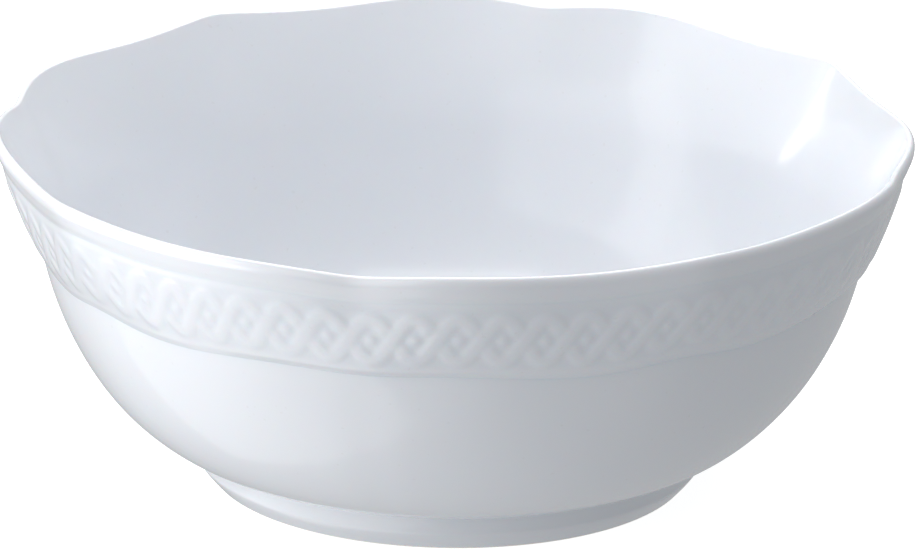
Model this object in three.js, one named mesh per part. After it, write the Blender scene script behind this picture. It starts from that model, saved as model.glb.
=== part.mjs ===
// A porcelain serving bowl: a thin-walled bowl with a bracket-shaped rim of eight panels, a raised
// band for a guilloche relief under a plain border, and a turned foot ring.
//
// Millimetres, +Z up. The origin is the middle of the foot, on the table. The bowl repeats four
// times around: each quarter runs from notch to notch, in two mirrored panels that meet at a point.

import * as THREE from 'three';

// ---- driving dimensions ------------------------------------------------------------------------

const RIM_RADIUS = 107.9;          // middle of the lip, averaged around the bowl
const RIM_HEIGHT = 84.6;           // top of the lip, averaged around the bowl
const LIP_RADIUS = 1.0;            // the lip is a half round, so it is 2 thick
const WALL = 3.5;                  // wall and band together, measured level at the band's lines
const FLOOR_THICKNESS = 4.6;

const LOWER_LINE = { r: 97.9, z: 56.4 };       // top of the plain lower wall, under the band's step
const UPPER_LINE = { r: 107.1, z: 77.7 };      // bottom of the plain border, over the band
const BAND_STEP = 0.9;             // how far the band's lower edge stands proud of the lower wall
const BAND_CHAMFER = 1.5;          // height of the slope that leads up to that step
const BAND_CROWN = 0.5;            // how far the band swells between its two edges
const BAND_THICKNESS = 1.5;
const GAP = 0.3;                   // clearance between neighbouring pieces

const FOOT_HEIGHT = 8.8;           // from the table to the underside of the base
const WALL_START = 58.4;           // radius where the wall starts to rise from the base
const FOOT_INNER_RADIUS = 51.6;
const FOOT_CONTACT = { inner: 53.3, outer: 56.9 };  // the flat that touches the table
const FOOT_EDGE = 0.6;             // height and width of the eased edges beside that flat
const FOOT_FLARE = { r: 61.1, z: 4.9 };        // top of the foot's flared side
const FOOT_TOP = { r: 61.6, z: 8.7 };          // where the foot's side meets the wall
const BASE_SAG = 0.8;              // the base hangs this much lower at its middle than at the foot

const FLOOR_RADIUS = 54;           // flat part of the inside

// Slopes in degrees, and how far each end of a curve holds its slope, in millimetres.
const WALL_LEAVES_FOOT = { slope: 0, pull: 10.3 };
const WALL_MEETS_LINE = { slope: 77.9, pull: 35 };
const BELLY_LEAVES_LINE = { slope: 253, pull: 30 };
const BELLY_MEETS_FLOOR = { slope: 180, pull: 22 };

// The rim's bracket outline, in each panel from the notch (0) to the point (1).
const PANELS = 8;
const CREST_AT = 0.27;
const VALLEY_AT = 0.69;
const RIM_WAVE = {
  radius: { notch: -0.7, crest: 1.4, valley: -1.4, point: 1.5 },
  height: { notch: -1.0, crest: 0.6, valley: -0.6, point: 0.8 },
};
const LINE_WAVE = {                // the softer outline at the band's lower line
  radius: { notch: 0.8, crest: 0.8, valley: -0.6, point: 0.7 },
  height: { notch: 0.0, crest: 0.8, valley: -1.1, point: 1.2 },
};
const WAVE_STARTS = 14;            // below this height the bowl is round
const NOTCH_AZIMUTH = 78.2;        // one notch's direction, in degrees from +X towards +Y

const SEGMENTS = 96;               // steps around the bowl, a whole number in each panel
const ARC_STEPS = 4;
const BAND_ROWS = 5;
const WALL_ROWS = 9;

const PORCELAIN = { color: 0xe4e7ea, roughness: 0.16, metalness: 0.0 };
const PORCELAIN_RELIEF = { color: 0xdde1e6, roughness: 0.2, metalness: 0.0 };
const PORCELAIN_FOOT = { color: 0xd8d9d8, roughness: 0.42, metalness: 0.0 };

// ---- small helpers -----------------------------------------------------------------------------

const point = (r, z) => new THREE.Vector2(r, z);
const mix = (a, b, t) => a + (b - a) * t;
const smoothstep = (low, high, value) => THREE.MathUtils.smoothstep(value, low, high);

// Rounded stretch of a profile, about a centre, from one angle to another in degrees.
function arc(centre, radius, fromDegrees, toDegrees) {
  const points = [];
  for (let step = 0; step <= ARC_STEPS; step += 1) {
    const angle = THREE.MathUtils.degToRad(mix(fromDegrees, toDegrees, step / ARC_STEPS));
    points.push(point(centre.x + radius * Math.cos(angle), centre.y + radius * Math.sin(angle)));
  }
  return points;
}

// How far a curve's handle lies from its end.
function handle(end) {
  const angle = THREE.MathUtils.degToRad(end.slope);
  return point(end.pull * Math.cos(angle), end.pull * Math.sin(angle));
}

// Curved stretch of a profile that leaves one end and reaches the other at the given slopes.
function sweep(from, leaving, to, arriving, rows) {
  const firstHandle = from.clone().add(handle(leaving));
  const lastHandle = to.clone().sub(handle(arriving));
  const curve = new THREE.CubicBezierCurve(from, firstHandle, lastHandle, to);
  return curve.getPoints(rows);
}

// ---- the rim's outline -------------------------------------------------------------------------

// One panel's wave: a quarter sine out of the notch, a half cosine from the crest to the valley,
// and a quarter cosine that ends steeply at the point.
function panelWave(place, wave) {
  if (place < CREST_AT) {
    const t = place / CREST_AT;
    return mix(wave.notch, wave.crest, Math.sin(t * Math.PI / 2));
  }
  if (place < VALLEY_AT) {
    const t = (place - CREST_AT) / (VALLEY_AT - CREST_AT);
    return mix(wave.crest, wave.valley, (1 - Math.cos(t * Math.PI)) / 2);
  }
  const t = (place - VALLEY_AT) / (1 - VALLEY_AT);
  return mix(wave.valley, wave.point, 1 - Math.cos(t * Math.PI / 2));
}

// Place in the panel, 0 at the notch and 1 at the point, for any direction around the bowl.
function placeInPanel(azimuth) {
  const panels = azimuth / (2 * Math.PI) * PANELS;
  const inPair = THREE.MathUtils.euclideanModulo(panels, 2);
  return inPair <= 1 ? inPair : 2 - inPair;
}

// How far the outline moves at one height and one place: not at all low down, by the line's wave at
// the band's lower line, and by the rim's own wave at the rim.
function outlineShift(height, place, direction) {
  const strength = smoothstep(WAVE_STARTS, LOWER_LINE.z, height);
  const towardsRim = smoothstep(LOWER_LINE.z, RIM_HEIGHT, height);
  const line = panelWave(place, LINE_WAVE[direction]);
  const rim = panelWave(place, RIM_WAVE[direction]);
  return strength * mix(line, rim, towardsRim);
}

// Bends a round geometry to the panels' outline.
function bendToPanels(geometry) {
  const positions = geometry.getAttribute('position');
  for (let index = 0; index < positions.count; index += 1) {
    const x = positions.getX(index);
    const y = positions.getY(index);
    const z = positions.getZ(index);
    if (z > WAVE_STARTS) {
      const azimuth = Math.atan2(y, x);
      const place = placeInPanel(azimuth);
      const radius = Math.hypot(x, y) + outlineShift(z, place, 'radius');
      positions.setX(index, radius * Math.cos(azimuth));
      positions.setY(index, radius * Math.sin(azimuth));
      positions.setZ(index, z + outlineShift(z, place, 'height'));
    }
  }
  geometry.computeVertexNormals();
  return geometry;
}

// Turns a profile of (radius, height) points about the bowl's axis.
function turned(profile) {
  const geometry = new THREE.LatheGeometry(profile, SEGMENTS);
  geometry.rotateX(Math.PI / 2);
  return bendToPanels(geometry);
}

function piece(name, geometry, finish) {
  const mesh = new THREE.Mesh(geometry, new THREE.MeshStandardMaterial(finish));
  mesh.name = name;
  return mesh;
}

// ---- profiles ----------------------------------------------------------------------------------

// The band's outer face at one height, from over its chamfer to its upper edge: a straight flare
// with a slight crown.
function bandFace(row) {
  const t = row / BAND_ROWS;
  const flare = mix(LOWER_LINE.r + BAND_STEP, UPPER_LINE.r, t);
  const height = mix(LOWER_LINE.z + BAND_CHAMFER, UPPER_LINE.z, t);
  return point(flare + BAND_CROWN * Math.sin(t * Math.PI), height);
}

// The same rows pushed in towards the axis.
function bandRows(inset) {
  const rows = [];
  for (let row = 0; row <= BAND_ROWS; row += 1) {
    const face = bandFace(row);
    rows.push(point(face.x - inset, face.y));
  }
  return rows;
}

// Underside of the base, from the middle out to the edge of the foot's seat.
function baseUnderside() {
  return [
    point(0, FOOT_HEIGHT - BASE_SAG),
    point(FOOT_INNER_RADIUS / 2, FOOT_HEIGHT - BASE_SAG * 3 / 4),
    point(FOOT_INNER_RADIUS, FOOT_HEIGHT),
  ];
}

// Outside of the lower wall: nearly flat where it leaves the foot, steep under the band.
function lowerWall() {
  const start = point(WALL_START, FOOT_HEIGHT);
  const end = point(LOWER_LINE.r, LOWER_LINE.z - GAP);
  return sweep(start, WALL_LEAVES_FOOT, end, WALL_MEETS_LINE, WALL_ROWS);
}

// The shallow recess that the band sits in, with a ledge below it and one above.
function bandRecess() {
  const rows = bandRows(BAND_THICKNESS + GAP);
  rows[0].y = LOWER_LINE.z - GAP;
  rows[BAND_ROWS].y += GAP;
  return rows;
}

// The plain border over the band, and the half round of the lip.
function borderAndLip() {
  const lipCentre = point(RIM_RADIUS, RIM_HEIGHT - LIP_RADIUS);
  return [point(UPPER_LINE.r, UPPER_LINE.z + GAP), ...arc(lipCentre, LIP_RADIUS, 0, 180)];
}

// Inside of the wall, from the lip down to the flat floor.
function innerWall() {
  const behindUpperLine = point(UPPER_LINE.r - WALL, UPPER_LINE.z);
  const behindLowerLine = point(LOWER_LINE.r - WALL, LOWER_LINE.z);
  const floorEdge = point(FLOOR_RADIUS, FOOT_HEIGHT + FLOOR_THICKNESS);
  const belly = sweep(behindLowerLine, BELLY_LEAVES_LINE, floorEdge, BELLY_MEETS_FLOOR, WALL_ROWS);
  return [behindUpperLine, ...belly];
}

// ---- the pieces --------------------------------------------------------------------------------

// Wall, base, border and lip, fired as one.
function bowlBody() {
  const floorMiddle = point(0, FOOT_HEIGHT + FLOOR_THICKNESS);
  const profile = [
    ...baseUnderside(),
    ...lowerWall(),
    ...bandRecess(),
    ...borderAndLip(),
    ...innerWall(),
    floorMiddle,
  ];
  return piece('bowl_body', turned(profile), PORCELAIN);
}

// The raised collar that carries the relief, set in the wall's recess.
function reliefBand() {
  const lowerEdge = point(LOWER_LINE.r, LOWER_LINE.z);
  const inside = bandRows(BAND_THICKNESS).reverse();
  inside[BAND_ROWS].y = LOWER_LINE.z;
  const profile = [lowerEdge, ...bandRows(0), ...inside, lowerEdge];
  return piece('relief_band', turned(profile), PORCELAIN_RELIEF);
}

// The foot ring: a flat that touches the table between two eased edges, and a flared outer side.
function footRing() {
  const underBase = FOOT_HEIGHT - GAP;
  const profile = [
    point(FOOT_CONTACT.inner, 0),
    point(FOOT_CONTACT.outer, 0),
    point(FOOT_CONTACT.outer + FOOT_EDGE, FOOT_EDGE),
    point(FOOT_FLARE.r, FOOT_FLARE.z),
    point(FOOT_TOP.r, FOOT_TOP.z),
    point(WALL_START, underBase),
    point(FOOT_INNER_RADIUS, underBase),
    point(FOOT_CONTACT.inner - FOOT_EDGE, FOOT_EDGE),
    point(FOOT_CONTACT.inner, 0),
  ];
  return piece('foot_ring', turned(profile), PORCELAIN_FOOT);
}

const bowl = new THREE.Group();
bowl.add(bowlBody(), reliefBand(), footRing());
bowl.rotation.z = THREE.MathUtils.degToRad(NOTCH_AZIMUTH);

export default bowl;
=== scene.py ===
"""A glazed porcelain serving bowl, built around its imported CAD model.

The wall, the relief band and the foot ring are each made as one closed mesh of rows and columns
round the bowl's axis. Every size comes from the frame's boxes or from the named values below, in
metres. Angles are in radians unless a name says otherwise.
"""

import math
import bpy
import numpy as np
from mathutils import Matrix, Vector

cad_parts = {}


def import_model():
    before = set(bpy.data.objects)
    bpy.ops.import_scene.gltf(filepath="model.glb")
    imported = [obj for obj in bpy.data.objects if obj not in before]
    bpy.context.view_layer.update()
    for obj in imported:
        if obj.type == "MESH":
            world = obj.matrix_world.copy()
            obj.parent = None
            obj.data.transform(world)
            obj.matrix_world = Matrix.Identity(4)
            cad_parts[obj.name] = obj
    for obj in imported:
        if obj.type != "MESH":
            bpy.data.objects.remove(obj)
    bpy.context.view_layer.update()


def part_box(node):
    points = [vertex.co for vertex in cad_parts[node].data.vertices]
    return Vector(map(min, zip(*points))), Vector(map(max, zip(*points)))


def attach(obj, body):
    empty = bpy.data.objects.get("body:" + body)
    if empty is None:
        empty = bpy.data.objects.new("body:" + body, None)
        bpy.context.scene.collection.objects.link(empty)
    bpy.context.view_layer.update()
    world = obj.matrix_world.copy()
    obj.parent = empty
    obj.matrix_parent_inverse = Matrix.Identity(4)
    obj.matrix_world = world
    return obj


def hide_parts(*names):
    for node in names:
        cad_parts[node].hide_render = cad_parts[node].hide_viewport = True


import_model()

MM = 0.001
TAU = 2 * math.pi

# ---- the panels' outline: each panel runs from a notch (0) to a point (1) -----------------------

PANELS = 8
NOTCH_AZIMUTH = math.radians(78.2)
CREST_AT = 0.27
VALLEY_AT = 0.69
RIM_RADIAL = {"notch": -0.7 * MM, "crest": 1.4 * MM, "valley": -1.4 * MM, "point": 1.5 * MM}
RIM_UPWARD = {"notch": -1.0 * MM, "crest": 0.6 * MM, "valley": -0.6 * MM, "point": 0.8 * MM}
LINE_RADIAL = {"notch": 0.8 * MM, "crest": 0.8 * MM, "valley": -0.6 * MM, "point": 0.7 * MM}
LINE_UPWARD = {"notch": 0.0, "crest": 0.8 * MM, "valley": -1.1 * MM, "point": 1.2 * MM}
WAVE_STARTS = 11 * MM              # the outside is round below this height
WAVE_FULL = 46 * MM
NOTCH_VALLEY = 0.2 * MM            # depth of the soft valley that runs down from each notch
NOTCH_VALLEY_HALF = 0.08           # its half width, as a share of a panel
INNER_WAVE_DEPTH = 30 * MM         # the inside is round this far under the rim
RIM_ROUNDING = math.radians(1.5)
LINE_ROUNDING = math.radians(3.0)

# ---- sizes, worked out from the frame ----------------------------------------------------------

BODY_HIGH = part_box("bowl_body")[1]
BAND_LOW, BAND_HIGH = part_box("relief_band")
FOOT_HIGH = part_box("foot_ring")[1]

LIP_RADIUS = 1.0 * MM
INNER_LIP_RADIUS = 0.75 * MM
SHOULDER_HEIGHT = 3.0 * MM         # the lip's outside starts to round this far under the rim
RIM_RADIUS = BODY_HIGH.x - LIP_RADIUS - RIM_RADIAL["crest"]
RIM_HEIGHT = BODY_HIGH.z - RIM_UPWARD["point"]
WALL = 3.5 * MM
FLOOR_THICKNESS = 4.6 * MM
FLOOR_RADIUS = 54 * MM
AXIS_GAP = 0.5 * MM                # the flat rows stop here, and a fan of faces closes the middle

LOWER_LINE = (RIM_RADIUS - 10.0 * MM, BAND_LOW.z - LINE_UPWARD["valley"])
UPPER_LINE = (RIM_RADIUS - 0.8 * MM, BAND_HIGH.z - 0.86 * MM)
BAND_HEIGHT = UPPER_LINE[1] - LOWER_LINE[1]
BAND_THICKNESS = 1.8 * MM
BAND_CROWN = 0.7 * MM
CHAMFER = 1.7 * MM                 # height of the slope up to the band's step
STEP_AT_NOTCH = 1.15 * MM
STEP_AT_MIDDLE = 0.25 * MM
STEP_REACH = 0.35                  # share of the panel in which the step fades
UPPER_VALLEY = 0.22 * MM           # depth of the soft valley along the upper line
UPPER_VALLEY_HALF = 1.3 * MM

LIP_TOP = 0.25 * MM                # the lip is highest this far inside the rim's radius
SHOULDER_OUT = 0.75 * MM           # the shoulder stands this far outside it

WALL_START = FOOT_HIGH.x - 3.2 * MM
BASE_HEIGHT = FOOT_HIGH.z + 0.1 * MM
FOOT_INNER_RADIUS = FOOT_HIGH.x - 10.0 * MM
FOOT_CONTACT = (FOOT_HIGH.x - 8.3 * MM, FOOT_HIGH.x - 4.7 * MM)
FOOT_FLARE = (FOOT_HIGH.x - 0.5 * MM, 4.9 * MM)
FOOT_EDGE = 0.6 * MM
BASE_SAG = 0.8 * MM
INNER_COVE = 1.3 * MM              # size of the rounded corner between the foot's inside and the base

# Ends of the curves: a slope in degrees, and how far the curve holds it.
INNER_FLARE = 242
WALL_LEAVES_FOOT = (0, 10.3 * MM)
WALL_MEETS_LINE = (77.9, 35 * MM)
INSIDE_LEAVES_LIP = (INNER_FLARE, 9 * MM)
INSIDE_MEETS_LINE = (253, 9 * MM)
BELLY_LEAVES_LINE = (253, 30 * MM)
BELLY_MEETS_FLOOR = (180, 22 * MM)

# ---- the relief --------------------------------------------------------------------------------

UNITS = 8 * PANELS
UNIT_LENGTH = TAU * 103 * MM / UNITS
EYE_PHASE = 0.3
RELIEF_MIDDLE = 0.52
RELIEF_HALF_HEIGHT = 7.8 * MM
STRAND_HALF_WIDTH = 1.9 * MM
STRAND_HEIGHT = 0.32 * MM
STRAND_GROOVE = 0.08 * MM
BOSS_RADIUS = 1.4 * MM
BOSS_HEIGHT = 0.26 * MM
GLAZE_FILL = 0.58 * MM

# How far up or down from a crease the glaze gathers, and how much of it.
POOL_AT_LINE = 1.2 * MM
POOL_AT_FOOT = 1.5 * MM
POOL_AMOUNT = 0.5

# ---- mesh resolution ---------------------------------------------------------------------------

BODY_COLUMNS = PANELS * 96
BAND_COLUMNS = UNITS * 24
FOOT_COLUMNS = PANELS * 48
BAND_ROWS = 72


# ---- looks -------------------------------------------------------------------------------------

BODY_WHITES = ((0.80, 0.82, 0.86), (0.775, 0.80, 0.85))
# The foot's two whites are the body's whites darkened by about a tenth: painted shade, standing for the
# floor's shadow round the foot.
FOOT_WHITES_PAINTED_SHADE = ((0.71, 0.73, 0.77), (0.69, 0.715, 0.76))
POOLED_GLAZE = (0.62, 0.68, 0.76)
BARE_PORCELAIN = (0.82, 0.80, 0.76)
SPECK = (0.55, 0.52, 0.48)
BARE_BELOW = 0.35 * MM             # the foot has no glaze under this height

# Azimuth and elevation in degrees, distance and size in metres, power in watts.
SOFTBOXES = {
    "left": (180, 20, 1.1, (1.2, 0.9), 3.5),
    "front_left": (225, 15, 1.1, (1.2, 0.9), 2.5),
    "high_left": (215, 55, 1.1, (1.2, 0.9), 0.5),
    "top": (90, 89, 1.2, (1.0, 1.0), 4.5),
    "high_back": (90, 60, 1.2, (1.2, 1.0), 7.9),
    "back": (90, 25, 1.3, (1.6, 0.8), 1.9),
    "low_left": (190, -10, 1.1, (1.2, 0.6), 4.6),
    "window": (150, 9, 1.2, (0.44, 0.36), 1.5),
    "table_glow": (200, -35, 1.0, (1.4, 1.4), 2.9),
}

CAMERA_ELEVATION = 19.6
CAMERA_DISTANCE = 26.4 * 107.5 * MM
CAMERA_TURNS = ((-0.030, "Y"), (0.939, "X"), (0.756, "Z"))    # degrees about its own axes, in order


# ---- outlines ----------------------------------------------------------------------------------

def mix(a, b, t):
    return a + (b - a) * t


def smoothstep(low, high, value):
    t = np.clip((value - low) / (high - low), 0, 1)
    return t * t * (3 - 2 * t)


def place_in_panel(columns):
    """0 at a notch, 1 at a point, for each column; column 0 stands at a notch."""
    in_pair = np.mod(np.arange(columns) / columns * PANELS, 2)
    return np.where(in_pair <= 1, in_pair, 2 - in_pair)


def panel_wave(place, wave):
    """A quarter sine out of the notch, a half cosine to the valley, a steep rise to the point."""
    out_of_notch = mix(wave["notch"], wave["crest"], np.sin(place / CREST_AT * math.pi / 2))
    t = (place - CREST_AT) / (VALLEY_AT - CREST_AT)
    middle = mix(wave["crest"], wave["valley"], (1 - np.cos(t * math.pi)) / 2)
    t = (place - VALLEY_AT) / (1 - VALLEY_AT)
    to_point = mix(wave["valley"], wave["point"], 1 - np.cos(t * math.pi / 2))
    return np.select([place < CREST_AT, place < VALLEY_AT], [out_of_notch, middle], to_point)


def blur(field, sigma, axis, mode):
    """Gaussian blur of a grid along one axis; mode is numpy's padding mode."""
    reach = math.ceil(3 * sigma)
    weights = np.exp(-0.5 * (np.arange(-reach, reach + 1) / sigma) ** 2)
    weights /= weights.sum()
    pad = [(0, 0), (0, 0)]
    pad[axis] = (reach, reach)
    padded = np.pad(field, pad, mode=mode)
    steps = np.arange(field.shape[axis])
    return sum(weight * np.take(padded, steps + i, axis) for i, weight in enumerate(weights))


def rounded_wave(columns, wave, rounding):
    """The panels' wave round the bowl, with its notches and points softened as glaze softens them."""
    sharp = panel_wave(place_in_panel(columns), wave)[None, :]
    return blur(sharp, rounding / TAU * columns, 1, "wrap")


def arc(centre, radius, from_degrees, to_degrees, steps):
    angle = np.radians(np.linspace(from_degrees, to_degrees, steps + 1))
    return np.stack([centre[0] + radius * np.cos(angle), centre[1] + radius * np.sin(angle)], 1)


def handle(slope_degrees, pull):
    slope = math.radians(slope_degrees)
    return pull * np.array([math.cos(slope), math.sin(slope)])


def sweep(start, leaving, end, arriving, steps):
    """A cubic between two points; leaving and arriving are each a slope in degrees and a pull."""
    a, d = np.array(start), np.array(end)
    b = a + handle(*leaving)
    c = d - handle(*arriving)
    t = np.linspace(0, 1, steps + 1)[:, None]
    return (1 - t) ** 3 * a + 3 * (1 - t) ** 2 * t * b + 3 * (1 - t) * t * t * c + t ** 3 * d


def line(start, end, steps):
    t = np.linspace(0, 1, steps + 1)[:, None]
    return (1 - t) * np.array(start) + t * np.array(end)


def bend(profile, columns):
    """Rows of radius and height on the outside, bent to the line's wave and then to the rim's."""
    height = profile[:, 1][:, None]
    strength = smoothstep(WAVE_STARTS, WAVE_FULL, height)
    upwards = smoothstep(LOWER_LINE[1], RIM_HEIGHT, height)
    shifts = []
    for at_line, at_rim in ((LINE_RADIAL, RIM_RADIAL), (LINE_UPWARD, RIM_UPWARD)):
        low = rounded_wave(columns, at_line, LINE_ROUNDING)
        high = rounded_wave(columns, at_rim, RIM_ROUNDING)
        shifts.append(strength * mix(low, high, upwards))
    in_valley = np.exp(-(place_in_panel(columns)[None, :] / NOTCH_VALLEY_HALF) ** 2)
    in_valley = in_valley * smoothstep(WAVE_STARTS, 1.6 * WAVE_STARTS, height)
    in_valley = in_valley * (1 - smoothstep(0.9 * LOWER_LINE[1], LOWER_LINE[1], height))
    radius = profile[:, 0][:, None] + shifts[0] - NOTCH_VALLEY * in_valley
    return radius, height + shifts[1]


def bend_inside(profile, columns):
    """Rows on the inside, bent to the rim's wave near the rim only."""
    height = profile[:, 1][:, None]
    fade = smoothstep(RIM_HEIGHT - INNER_WAVE_DEPTH, RIM_HEIGHT, height)
    radial = rounded_wave(columns, RIM_RADIAL, RIM_ROUNDING)
    upward = rounded_wave(columns, RIM_UPWARD, RIM_ROUNDING)
    return profile[:, 0][:, None] + fade * radial, height + fade * upward


# ---- meshes ------------------------------------------------------------------------------------

def mark_sharp(mesh, rows, columns):
    """Keeps the shading of a visible face from bleeding round its hidden edge."""
    ends = np.empty(len(mesh.edges) * 2, np.int32)
    mesh.edges.foreach_get("vertices", ends)
    first, second = (ends.reshape(-1, 2) // columns).T
    sharp = mesh.attributes.new("sharp_edge", "BOOLEAN", "EDGE")
    sharp.data.foreach_set("value", (first == second) & np.isin(first, rows))


def turned_mesh(name, radius, height, pool, closed, sharp_rows):
    """One closed mesh. closed: the last row meets the first; otherwise both ends are on the axis."""
    rows, columns = radius.shape
    azimuth = NOTCH_AZIMUTH + np.arange(columns) / columns * TAU
    across = [radius * np.cos(azimuth), radius * np.sin(azimuth)]
    points = np.stack([*across, height], -1).reshape(-1, 3)
    row = np.arange(rows if closed else rows - 1)[:, None]
    column = np.arange(columns)[None, :]
    beside = (column + 1) % columns
    above = (row + 1) % rows
    here, next_up = row * columns, above * columns
    quads = np.stack([here + column, here + beside, next_up + beside, next_up + column], -1)
    faces = quads.reshape(-1, 4).tolist()
    pool = np.broadcast_to(pool, radius.shape).reshape(-1)
    if not closed:
        low, high = len(points), len(points) + 1
        middles = [[0, 0, height[0].mean()], [0, 0, height[-1].mean()]]
        points = np.concatenate([points, middles])
        pool = np.concatenate([pool, np.zeros(len(middles))])
        top = (rows - 1) * columns
        faces += [[low, (i + 1) % columns, i] for i in range(columns)]
        faces += [[high, top + i, top + (i + 1) % columns] for i in range(columns)]
    mesh = bpy.data.meshes.new(name)
    mesh.from_pydata(points.tolist(), [], faces)
    mesh.polygons.foreach_set("use_smooth", np.ones(len(mesh.polygons), bool))
    mark_sharp(mesh, sharp_rows, columns)
    thick = mesh.attributes.new("pool", "FLOAT", "POINT")
    thick.data.foreach_set("value", pool.astype(np.float32))
    mesh.update()
    made = bpy.data.objects.new(name, mesh)
    bpy.context.scene.collection.objects.link(made)
    return made


def fitted(piece, node_name, material):
    """Gives a finished mesh its material, hides the CAD node that it stands for, and hangs it under the
    root body.
    """
    piece.data.materials.append(material)
    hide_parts(node_name)
    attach(piece, "root")
    return piece


# ---- the bowl's body ---------------------------------------------------------------------------

def base_underside():
    """The base under the bowl, which hangs a little towards its middle."""
    rows = line((AXIS_GAP, BASE_HEIGHT - BASE_SAG), (FOOT_INNER_RADIUS, BASE_HEIGHT), 12)
    rows[:, 1] = BASE_HEIGHT - BASE_SAG * np.cos(rows[:, 0] / FOOT_INNER_RADIUS * math.pi / 2)
    return rows


def border_and_lip():
    """From the soft valley along the upper line, over the long soft shoulder, to the lip's inside."""
    shoulder = (RIM_RADIUS + SHOULDER_OUT, RIM_HEIGHT - SHOULDER_HEIGHT)
    border = line(UPPER_LINE, shoulder, 14)
    above_line = border[:, 1] - UPPER_LINE[1]
    border[:, 0] -= UPPER_VALLEY * np.exp(-(above_line / UPPER_VALLEY_HALF) ** 2)
    flare = math.degrees(math.atan2(shoulder[1] - UPPER_LINE[1], shoulder[0] - UPPER_LINE[0]))
    lip_centre = (RIM_RADIUS - LIP_TOP, RIM_HEIGHT - INNER_LIP_RADIUS)
    inner = arc(lip_centre, INNER_LIP_RADIUS, 90, INNER_FLARE - 90, 8)
    over = sweep(shoulder, (flare, 1.5 * MM), tuple(inner[0]), (180, 0.9 * MM), 18)[1:]
    return np.concatenate([border, over, inner[1:]])


def inner_wall(lip_end):
    """From the lip down the inside to the middle of the floor."""
    behind_lower = (LOWER_LINE[0] - WALL, LOWER_LINE[1])
    floor_edge = (FLOOR_RADIUS, BASE_HEIGHT + FLOOR_THICKNESS)
    upper = sweep(lip_end, INSIDE_LEAVES_LIP, behind_lower, INSIDE_MEETS_LINE, 24)[1:]
    belly = sweep(behind_lower, BELLY_LEAVES_LINE, floor_edge, BELLY_MEETS_FLOOR, 48)[1:]
    floor = line(floor_edge, (AXIS_GAP, floor_edge[1]), 12)[1:]
    return np.concatenate([upper, belly, floor])


def bowl_body(material):
    """The wall, base, border and lip as one closed mesh; the band sits in the recess of the wall."""
    base = base_underside()
    wall_foot = (WALL_START, BASE_HEIGHT)
    lower_wall = sweep(wall_foot, WALL_LEAVES_FOOT, LOWER_LINE, WALL_MEETS_LINE, 64)
    recess = line(LOWER_LINE, UPPER_LINE, 6) - [BAND_THICKNESS, 0]
    border = border_and_lip()
    outside = np.concatenate([base, lower_wall, recess, border])
    inside = inner_wall(tuple(border[-1]))
    rows = [bend(outside, BODY_COLUMNS), bend_inside(inside, BODY_COLUMNS)]
    radius, height = (np.concatenate(part) for part in zip(*rows))
    profile_height = np.concatenate([outside, inside])[:, 1]
    pool = np.zeros(len(profile_height))
    wall_rows = slice(len(base), len(base) + len(lower_wall))
    under_line = (LOWER_LINE[1] - profile_height[wall_rows]) / POOL_AT_LINE
    over_foot = (profile_height[wall_rows] - BASE_HEIGHT) / POOL_AT_FOOT
    pool[wall_rows] = POOL_AMOUNT * np.exp(-under_line ** 2) + POOL_AMOUNT * np.exp(-over_foot ** 2)
    wall_end = wall_rows.stop - 1
    border_start = wall_rows.stop + len(recess)
    sharp_rows = [len(base) - 1, wall_end, border_start]
    made = turned_mesh("bowl_body_glazed", radius, height, pool[:, None], False, sharp_rows)
    return fitted(made, "bowl_body", material)


# ---- the relief band ---------------------------------------------------------------------------

def distance_to(curve, x, y):
    """Distance from each grid point to a polyline given as dense points."""
    dx = x[..., None] - curve[0]
    dy = y[..., None] - curve[1]
    return np.sqrt((dx * dx + dy * dy).min(-1))


def ribbon(distance):
    """Height across one strand: a rounded band with a groove along its middle."""
    inside = np.clip(1 - (distance / STRAND_HALF_WIDTH) ** 2, 0, 1)
    groove = STRAND_GROOVE * np.exp(-(distance / (0.28 * STRAND_HALF_WIDTH)) ** 2)
    return STRAND_HEIGHT * inside ** 0.55 - groove


def guilloche_tile(columns, heights):
    """One unit of two crossing strands with a boss in each eye, for each height up the band."""
    x, y = np.meshgrid(np.arange(columns) / columns * UNIT_LENGTH, heights)
    amplitude = RELIEF_HALF_HEIGHT - STRAND_HALF_WIDTH
    t = np.linspace(0, 1, 90)
    over, under, crossing, eye = (np.full(x.shape, np.inf) for _ in range(4))
    for unit in (-1, 0, 1, 2):
        along = (t + unit) * UNIT_LENGTH
        over = np.minimum(over, distance_to((along, -amplitude * np.cos(t * math.pi)), x, y))
        under = np.minimum(under, distance_to((along, amplitude * np.cos(t * math.pi)), x, y))
        crossing = np.minimum(crossing, np.hypot(x - (unit + 0.5) * UNIT_LENGTH, y))
        eye = np.minimum(eye, np.hypot(x - unit * UNIT_LENGTH, y))
    dip = 0.9 * STRAND_HEIGHT * np.exp(-(crossing / (1.35 * STRAND_HALF_WIDTH)) ** 4)
    strands = np.maximum(ribbon(over), ribbon(under) - dip)
    boss = BOSS_HEIGHT * np.sqrt(np.clip(1 - (eye / BOSS_RADIUS) ** 2, 0, 1))
    return np.maximum(np.maximum(strands, boss), 0)


def relief(t):
    """Height of the relief over the band's face, rows up the band by columns round it."""
    per_unit = BAND_COLUMNS // UNITS
    tile = guilloche_tile(per_unit, (t - RELIEF_MIDDLE) * BAND_HEIGHT)
    field = np.roll(np.tile(tile, (1, UNITS)), round(EYE_PHASE * per_unit), axis=1)
    filled = blur(field, GLAZE_FILL / (BAND_HEIGHT / BAND_ROWS), 0, "edge")
    return blur(filled, GLAZE_FILL / (UNIT_LENGTH / per_unit), 1, "wrap")


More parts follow.
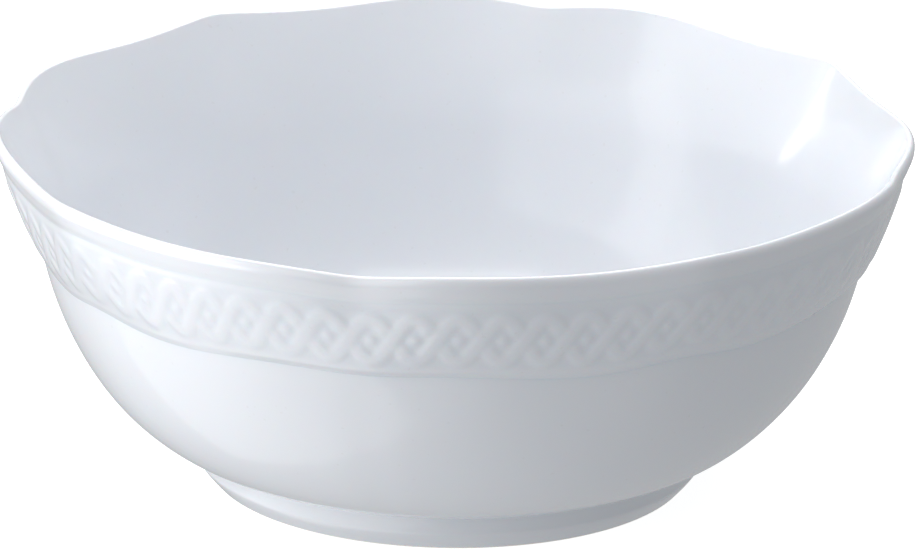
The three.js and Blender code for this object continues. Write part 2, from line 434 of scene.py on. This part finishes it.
def band_offset(t):
    """How far the face stands off the straight line between the wall and the border."""
    above_wall = t * BAND_HEIGHT
    below_border = (1 - t) * BAND_HEIGHT
    ramp = blur(np.clip(above_wall / CHAMFER, 0, 1)[:, None], 0.7, 0, "edge")
    ramp[0] = 0
    place = place_in_panel(BAND_COLUMNS)[None, :]
    step = mix(STEP_AT_MIDDLE, STEP_AT_NOTCH, np.exp(-(place / STEP_REACH) ** 2))
    crown = BAND_CROWN * np.sin(t * math.pi)
    valley = UPPER_VALLEY * np.exp(-(below_border / UPPER_VALLEY_HALF) ** 2)
    return ramp * (1 - t[:, None]) * step + (crown - valley)[:, None]


def relief_band(material):
    """The collar with its relief, closed by a back that is hidden in the wall."""
    t = np.linspace(0, 1, BAND_ROWS + 1)
    raised = relief(t)
    radius, height = bend(line(LOWER_LINE, UPPER_LINE, BAND_ROWS), BAND_COLUMNS)
    radius = radius + band_offset(t) + raised
    back = line(UPPER_LINE, LOWER_LINE, 6) - [BAND_THICKNESS - 0.1 * MM, 0]
    back_radius, back_height = bend(back, BAND_COLUMNS)
    hollow = (1 - np.clip(raised / STRAND_HEIGHT, 0, 1))
    hollow *= (smoothstep(0.1, 0.2, t) * (1 - smoothstep(0.88, 0.98, t)))[:, None]
    crease = POOL_AMOUNT * np.exp(-(t * BAND_HEIGHT / POOL_AT_LINE) ** 2)[:, None]
    pool = np.concatenate([hollow + crease, np.zeros(back_radius.shape)])
    made = turned_mesh("relief_band_guilloche", np.concatenate([radius, back_radius]),
                       np.concatenate([height, back_height]), pool, True, [0, BAND_ROWS])
    return fitted(made, "relief_band", material)


# ---- the foot ring -----------------------------------------------------------------------------

def foot_ring(material):
    """The turned foot: a flat contact rim, a flared side, and a top that is buried in the wall."""
    inner_edge, outer_edge = FOOT_CONTACT
    corner_start = FOOT_INNER_RADIUS - INNER_COVE
    contact = line((inner_edge, 0), (outer_edge, 0), 4)
    eased = arc((outer_edge, FOOT_EDGE), FOOT_EDGE, -90, -42, 5)[1:]
    flare = sweep(tuple(eased[-1]), (48, 1.6 * MM), FOOT_FLARE, (66, 1.4 * MM), 10)[1:]
    in_wall = (WALL_START + 4.2 * MM, BASE_HEIGHT + 1.1 * MM)
    cove = sweep(FOOT_FLARE, (84, 1.8 * MM), in_wall, (66, 1.3 * MM), 14)[1:]
    buried = np.array([(corner_start, BASE_HEIGHT + 0.6 * MM)])
    cove_start = (corner_start, BASE_HEIGHT - 0.05 * MM)
    cove_end = (FOOT_INNER_RADIUS + 0.1 * MM, BASE_HEIGHT - INNER_COVE)
    inner_cove = sweep(cove_start, (0, 0.8 * MM), cove_end, (275, 0.8 * MM), 8)
    inner_side = line(cove_end, (inner_edge - FOOT_EDGE, FOOT_EDGE), 6)[1:]
    side_end = tuple(inner_side[-1])
    inner_round = sweep(side_end, (280, 0.3 * MM), (inner_edge, 0), (0, 0.3 * MM), 5)[1:-1]
    outside = [contact, eased, flare, cove, buried]
    profile = np.concatenate(outside + [inner_cove, inner_side, inner_round])
    radius, height = bend(profile, FOOT_COLUMNS)
    pool = POOL_AMOUNT * np.exp(-((profile[:, 1] - BASE_HEIGHT) / POOL_AT_FOOT) ** 2)
    made = turned_mesh("foot_ring_turned", radius, height, pool[:, None], True, [])
    return fitted(made, "foot_ring", material)


# ---- materials ---------------------------------------------------------------------------------

def node(tree, kind, place, **values):
    made = tree.nodes.new(kind)
    made.location = place
    for name, value in values.items():
        setattr(made, name, value)
    return made


def noise(tree, source, place, scale, detail):
    made = node(tree, "ShaderNodeTexNoise", place)
    made.inputs["Scale"].default_value = scale
    made.inputs["Detail"].default_value = detail
    tree.links.new(source, made.inputs["Vector"])
    return made.outputs["Fac"]


def ramped(tree, source, place, low, high, to_low, to_high):
    made = node(tree, "ShaderNodeMapRange", place, clamp=True)
    for socket, value in zip(("From Min", "From Max", "To Min", "To Max"), (low, high, to_low, to_high)):
        made.inputs[socket].default_value = value
    tree.links.new(source, made.inputs["Value"])
    return made.outputs["Result"]


def blended(tree, amount, first, second, place):
    """A colour mix; each of first and second is a colour or an output."""
    made = node(tree, "ShaderNodeMixRGB", place)
    tree.links.new(amount, made.inputs["Fac"])
    for socket, value in (("Color1", first), ("Color2", second)):
        if isinstance(value, tuple):
            made.inputs[socket].default_value = (*value, 1)
        else:
            tree.links.new(value, made.inputs[socket])
    return made.outputs["Color"]


def bumped(tree, height, normal, place, strength, distance):
    made = node(tree, "ShaderNodeBump", place)
    made.inputs["Strength"].default_value = strength
    made.inputs["Distance"].default_value = distance
    tree.links.new(height, made.inputs["Height"])
    if normal is not None:
        tree.links.new(normal, made.inputs["Normal"])
    return made.outputs["Normal"]


def porcelain(name, whites, bare_below=None):
    """White porcelain under a clear gloss glaze, bluer where it lies thick.

    whites: the two colours that the body drifts between.
    bare_below: the glaze is wiped off under this height, as on a foot's contact rim.
    """
    material = bpy.data.materials.new(name)
    material.use_nodes = True
    tree = material.node_tree
    shader = tree.nodes["Principled BSDF"]
    shader.inputs["IOR"].default_value = 1.5
    shader.inputs["Coat IOR"].default_value = 1.5
    shader.inputs["Subsurface Weight"].default_value = 0.15
    shader.inputs["Subsurface Scale"].default_value = 1.5 * MM
    place = node(tree, "ShaderNodeTexCoord", (-1700, 0)).outputs["Object"]

    cloud = noise(tree, place, (-1400, 500), 26, 3)
    colour = blended(tree, cloud, *whites, (-1000, 500))
    pool = node(tree, "ShaderNodeAttribute", (-1400, 300), attribute_name="pool").outputs["Fac"]
    thick = ramped(tree, pool, (-1200, 300), 0, 1, 0, 0.2)
    colour = blended(tree, thick, colour, POOLED_GLAZE, (-800, 400))
    grains = noise(tree, place, (-1400, 100), 900, 0)
    speck = ramped(tree, grains, (-1200, 100), 0.80, 0.86, 0, 0.12)
    colour = blended(tree, speck, colour, SPECK, (-600, 300))

    wear = noise(tree, place, (-1400, -100), 45, 2)
    roughness = ramped(tree, wear, (-1000, -100), 0.3, 0.7, 0.28, 0.36)
    gloss = ramped(tree, wear, (-1000, -300), 0.3, 0.7, 0.09, 0.13)
    if bare_below is None:
        shader.inputs["Coat Weight"].default_value = 1.0
    else:
        up = node(tree, "ShaderNodeSeparateXYZ", (-1400, -500))
        tree.links.new(place, up.inputs[0])
        glazed = ramped(tree, up.outputs["Z"], (-1200, -500), bare_below, 1.4 * bare_below, 0, 1)
        colour = blended(tree, glazed, BARE_PORCELAIN, colour, (-400, 200))
        tree.links.new(glazed, shader.inputs["Coat Weight"])
        matt = ramped(tree, glazed, (-800, -500), 0, 1, 0.5, 0)
        total = node(tree, "ShaderNodeMath", (-600, -300), operation="ADD")
        tree.links.new(roughness, total.inputs[0])
        tree.links.new(matt, total.inputs[1])
        roughness = total.outputs[0]
    tree.links.new(colour, shader.inputs["Base Color"])
    tree.links.new(roughness, shader.inputs["Roughness"])
    tree.links.new(gloss, shader.inputs["Coat Roughness"])

    sag = noise(tree, place, (-1400, -800), 32, 1)
    ripple = noise(tree, place, (-1400, -1000), 130, 1)
    body = bumped(tree, ripple, None, (-700, -900), 0.10, 0.15 * MM)
    skin = bumped(tree, sag, body, (-400, -900), 0.25, 0.30 * MM)
    tree.links.new(body, shader.inputs["Normal"])
    tree.links.new(skin, shader.inputs["Coat Normal"])
    return material


# ---- stage, light and camera -------------------------------------------------------------------

def aimed(data, name, place, target):
    made = bpy.data.objects.new(name, data)
    bpy.context.scene.collection.objects.link(made)
    made.location = place
    made.rotation_euler = (Vector(target) - Vector(place)).to_track_quat("-Z", "Y").to_euler()
    return made


def around(azimuth, elevation, distance):
    """A place seen from the bowl at an azimuth and an elevation in degrees."""
    a, e = math.radians(azimuth), math.radians(elevation)
    return (distance * math.cos(e) * math.cos(a), distance * math.cos(e) * math.sin(a),
            distance * math.sin(e))


def softbox(name, azimuth, elevation, distance, size, power):
    light = bpy.data.lights.new(name, "AREA")
    light.shape = "RECTANGLE"
    light.size, light.size_y = size
    light.energy = power
    made = aimed(light, name, around(azimuth, elevation, distance), (0, 0, RIM_HEIGHT / 2))
    made.visible_camera = False
    return made


def floor_material():
    """Pale and evenly bright from above, see-through from below."""
    material = bpy.data.materials.new("floor_pale")
    material.use_nodes = True
    tree = material.node_tree
    shader = tree.nodes["Principled BSDF"]
    shader.inputs["Base Color"].default_value = (0.5, 0.5, 0.5, 1)
    shader.inputs["Roughness"].default_value = 1.0
    shader.inputs["Specular IOR Level"].default_value = 0.0
    shader.inputs["Emission Color"].default_value = (1, 1, 1, 1)
    shader.inputs["Emission Strength"].default_value = 0.82
    side = node(tree, "ShaderNodeNewGeometry", (-300, 200)).outputs["Backfacing"]
    clear = node(tree, "ShaderNodeBsdfTransparent", (0, -500))
    either = node(tree, "ShaderNodeMixShader", (300, 200))
    tree.links.new(side, either.inputs[0])
    tree.links.new(shader.outputs[0], either.inputs[1])
    tree.links.new(clear.outputs[0], either.inputs[2])
    tree.links.new(either.outputs[0], tree.nodes["Material Output"].inputs["Surface"])
    return material


def floor():
    """A pale floor that only the camera sees, a hair under the foot."""
    reach, drop = 4.5, -0.05 * MM
    mesh = bpy.data.meshes.new("floor")
    corners = [(-reach, -reach), (reach, -reach), (reach, reach), (-reach, reach)]
    mesh.from_pydata([(x, y, drop) for x, y in corners], [], [(0, 1, 2, 3)])
    mesh.materials.append(floor_material())
    made = bpy.data.objects.new("floor", mesh)
    bpy.context.scene.collection.objects.link(made)
    made.visible_diffuse = False
    made.visible_glossy = False
    made.visible_transmission = False
    made.visible_shadow = False


def world():
    """Even, slightly cool light from all round."""
    made = bpy.data.worlds.new("studio")
    made.use_nodes = True
    background = made.node_tree.nodes["Background"]
    background.inputs["Color"].default_value = (0.96, 0.98, 1.0, 1)
    background.inputs["Strength"].default_value = 0.457
    bpy.context.scene.world = made


def camera():
    """A long lens in front of the bowl, looking down at it."""
    data = bpy.data.cameras.new("camera")
    data.lens = 462.5
    data.sensor_width = 36
    data.clip_end = 50
    made = bpy.data.objects.new("camera", data)
    bpy.context.scene.collection.objects.link(made)
    place = Vector(around(-90, CAMERA_ELEVATION, CAMERA_DISTANCE))
    back = place.normalized()
    right = Vector((1, 0, 0))
    turn = Matrix((right, back.cross(right), back)).transposed()
    for degrees, axis in CAMERA_TURNS:
        turn = turn @ Matrix.Rotation(math.radians(degrees), 3, axis)
    made.matrix_world = Matrix.Translation(place) @ turn.to_4x4()
    bpy.context.scene.camera = made


# ---- the scene ---------------------------------------------------------------------------------

camera()
world()
floor()
for name, settings in SOFTBOXES.items():
    softbox(name, *settings)

glaze = porcelain("porcelain_glazed", BODY_WHITES)
bowl_body(glaze)
relief_band(glaze)
# The foot's porcelain carries painted shade: its whites are darker than the body's.
foot_ring(porcelain("porcelain_foot_painted_shade", FOOT_WHITES_PAINTED_SHADE, bare_below=BARE_BELOW))

bpy.context.scene.view_settings.view_transform = "Standard"
